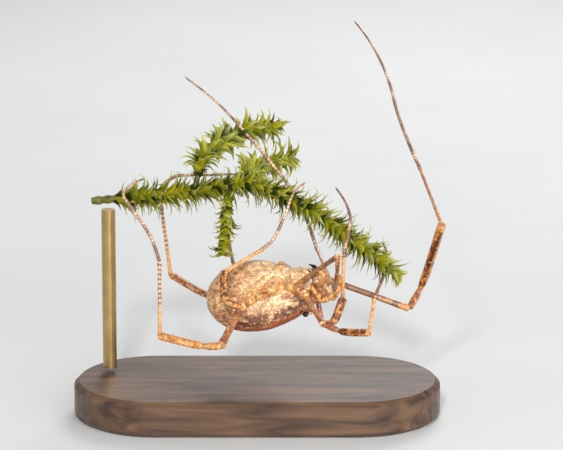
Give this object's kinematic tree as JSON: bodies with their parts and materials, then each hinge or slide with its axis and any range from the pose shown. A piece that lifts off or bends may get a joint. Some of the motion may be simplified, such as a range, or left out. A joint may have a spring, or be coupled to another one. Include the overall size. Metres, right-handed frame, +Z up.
{
  "type": "harvestman hanging below a moss stem",
  "caption": "Still, life-size harvestman with an oval body and very long thin legs, hanging below a cut moss stem on a plain display stand.",
  "frame": {"origin": "centre of the stand base's flat underside", "axes": "+Z up; +X to the right as the animal is usually seen, the way its head points; +Y away from that viewer"},
  "size_m": [0.0221, 0.0215, 0.0215],
  "materials": {
    "body": "satin mottled cuticle",
    "mouthparts": "satin cuticle",
    "legs": "satin cuticle with darker spots and rings",
    "eyes": "glossy black",
    "moss": "soft sheen",
    "base": "satin dark wood",
    "rod": "satin"
  },
  "bodies": {
    "root": {"chelicera_left_base": "mouthparts", "chelicera_left_hand": "mouthparts", "chelicera_right_base": "mouthparts", "chelicera_right_hand": "mouthparts", "eye_left": "eyes", "eye_right": "eyes", "leg_left_1_femur": "legs", "leg_left_1_metatarsus": "legs", "leg_left_1_tarsus": "legs", "leg_left_1_tibia": "legs", "leg_left_2_femur": "legs", "leg_left_2_metatarsus": "legs", "leg_left_2_tarsus": "legs", "leg_left_2_tibia": "legs", "leg_left_3_femur": "legs", "leg_left_3_metatarsus": "legs", "leg_left_3_tarsus": "legs", "leg_left_3_tibia": "legs", "leg_left_4_femur": "legs", "leg_left_4_metatarsus": "legs", "leg_left_4_tarsus": "legs", "leg_left_4_tibia": "legs", "leg_right_1_femur": "legs", "leg_right_1_metatarsus": "legs", "leg_right_1_tarsus": "legs", "leg_right_1_tibia": "legs", "leg_right_2_femur": "legs", "leg_right_2_metatarsus": "legs", "leg_right_2_tarsus": "legs", "leg_right_2_tibia": "legs", "leg_right_3_femur": "legs", "leg_right_3_metatarsus": "legs", "leg_right_3_tarsus": "legs", "leg_right_3_tibia": "legs", "leg_right_4_femur": "legs", "leg_right_4_metatarsus": "legs", "leg_right_4_tarsus": "legs", "leg_right_4_tibia": "legs", "opisthosoma": "body", "palp_left_femur": "mouthparts", "palp_left_tarsus": "mouthparts", "palp_left_tibia": "mouthparts", "palp_right_femur": "mouthparts", "palp_right_tarsus": "mouthparts", "palp_right_tibia": "mouthparts", "perch_back_shoot": "moss", "perch_hanging_shoot": "moss", "perch_stem": "moss", "perch_stem_end": "moss", "perch_upper_shoot": "moss", "prosoma": "body", "stand_base": "base", "stand_rod": "rod"}
  },
  "joints": []
}
